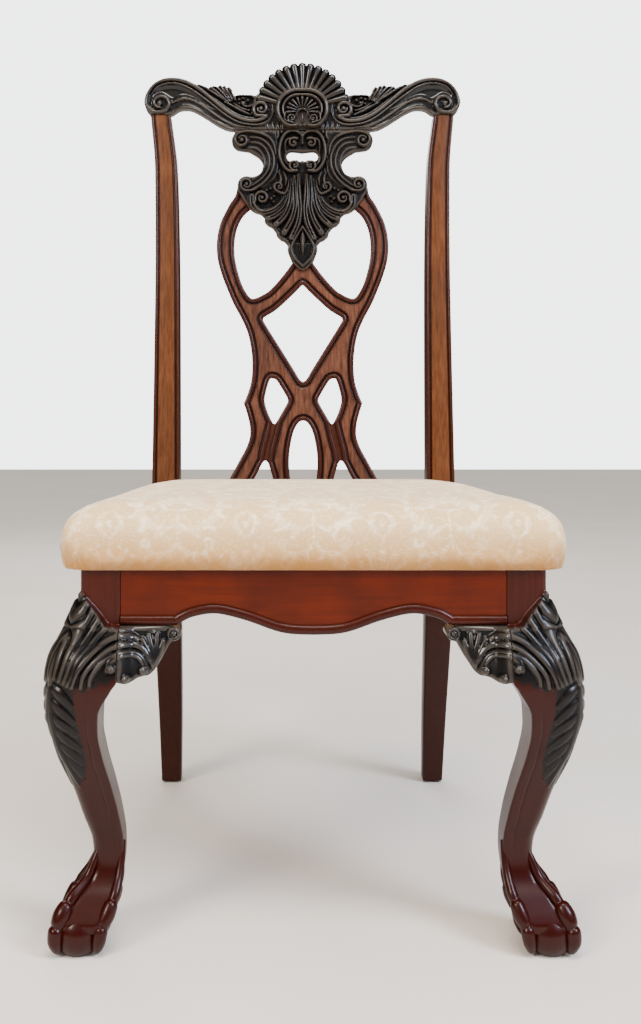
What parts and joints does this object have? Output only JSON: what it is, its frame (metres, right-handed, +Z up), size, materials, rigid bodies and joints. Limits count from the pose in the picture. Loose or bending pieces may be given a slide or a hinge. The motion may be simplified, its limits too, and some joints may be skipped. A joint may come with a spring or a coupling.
{
  "type": "carved dining side chair",
  "caption": "Carved mahogany dining side chair with a pierced splat, shell crest, cabriole front legs on ball and claw feet, and a cream upholstered seat.",
  "frame": {"origin": "on the floor, under the middle of the chair's width and depth", "axes": "+X to the viewer's right, +Y to the back, +Z up; the chair faces -Y"},
  "size_m": [0.5912, 0.588, 1.1162],
  "materials": {
    "brown_mahogany": "satin lacquer over brown mahogany stain",
    "dark_carved_mahogany": "dark glazed carving, rubbed through to brown on its high edges, satin lacquer",
    "red_mahogany": "satin lacquer over red mahogany stain",
    "plain_hardwood": "bare planed hardwood",
    "plywood": "bare plywood",
    "cream_foam": "upholstery foam",
    "cream_damask": "tone-on-tone woven damask",
    "black_cambric": "thin dust cloth",
    "zinc_plated_steel": "zinc plated",
    "dark_nylon": "moulded nylon"
  },
  "bodies": {
    "root": {"back_splat": "brown_mahogany", "splat_shoe": "brown_mahogany", "left_rear_post": "brown_mahogany", "right_rear_post": "brown_mahogany", "left_side_rail": "brown_mahogany", "right_side_rail": "brown_mahogany", "rear_seat_rail": "brown_mahogany", "apron_bead": "brown_mahogany", "left_front_leg": "brown_mahogany", "right_front_leg": "brown_mahogany", "crest_rail": "dark_carved_mahogany", "crest_shell": "dark_carved_mahogany", "left_front_bracket": "dark_carved_mahogany", "right_front_bracket": "dark_carved_mahogany", "left_side_bracket": "dark_carved_mahogany", "right_side_bracket": "dark_carved_mahogany", "front_apron": "red_mahogany", "front_left_block": "plain_hardwood", "front_right_block": "plain_hardwood", "rear_left_block": "plain_hardwood", "rear_right_block": "plain_hardwood", "seat_board": "plywood", "seat_foam": "cream_foam", "seat_cover": "cream_damask", "dust_cover": "black_cambric", "front_left_rail_screw": "zinc_plated_steel", "front_left_side_screw": "zinc_plated_steel", "front_left_seat_screw": "zinc_plated_steel", "front_right_rail_screw": "zinc_plated_steel", "front_right_side_screw": "zinc_plated_steel", "front_right_seat_screw": "zinc_plated_steel", "rear_left_rail_screw": "zinc_plated_steel", "rear_left_side_screw": "zinc_plated_steel", "rear_left_seat_screw": "zinc_plated_steel", "rear_right_rail_screw": "zinc_plated_steel", "rear_right_side_screw": "zinc_plated_steel", "rear_right_seat_screw": "zinc_plated_steel", "front_left_glide": "dark_nylon", "front_right_glide": "dark_nylon", "rear_left_glide": "dark_nylon", "rear_right_glide": "dark_nylon"}
  },
  "joints": []
}
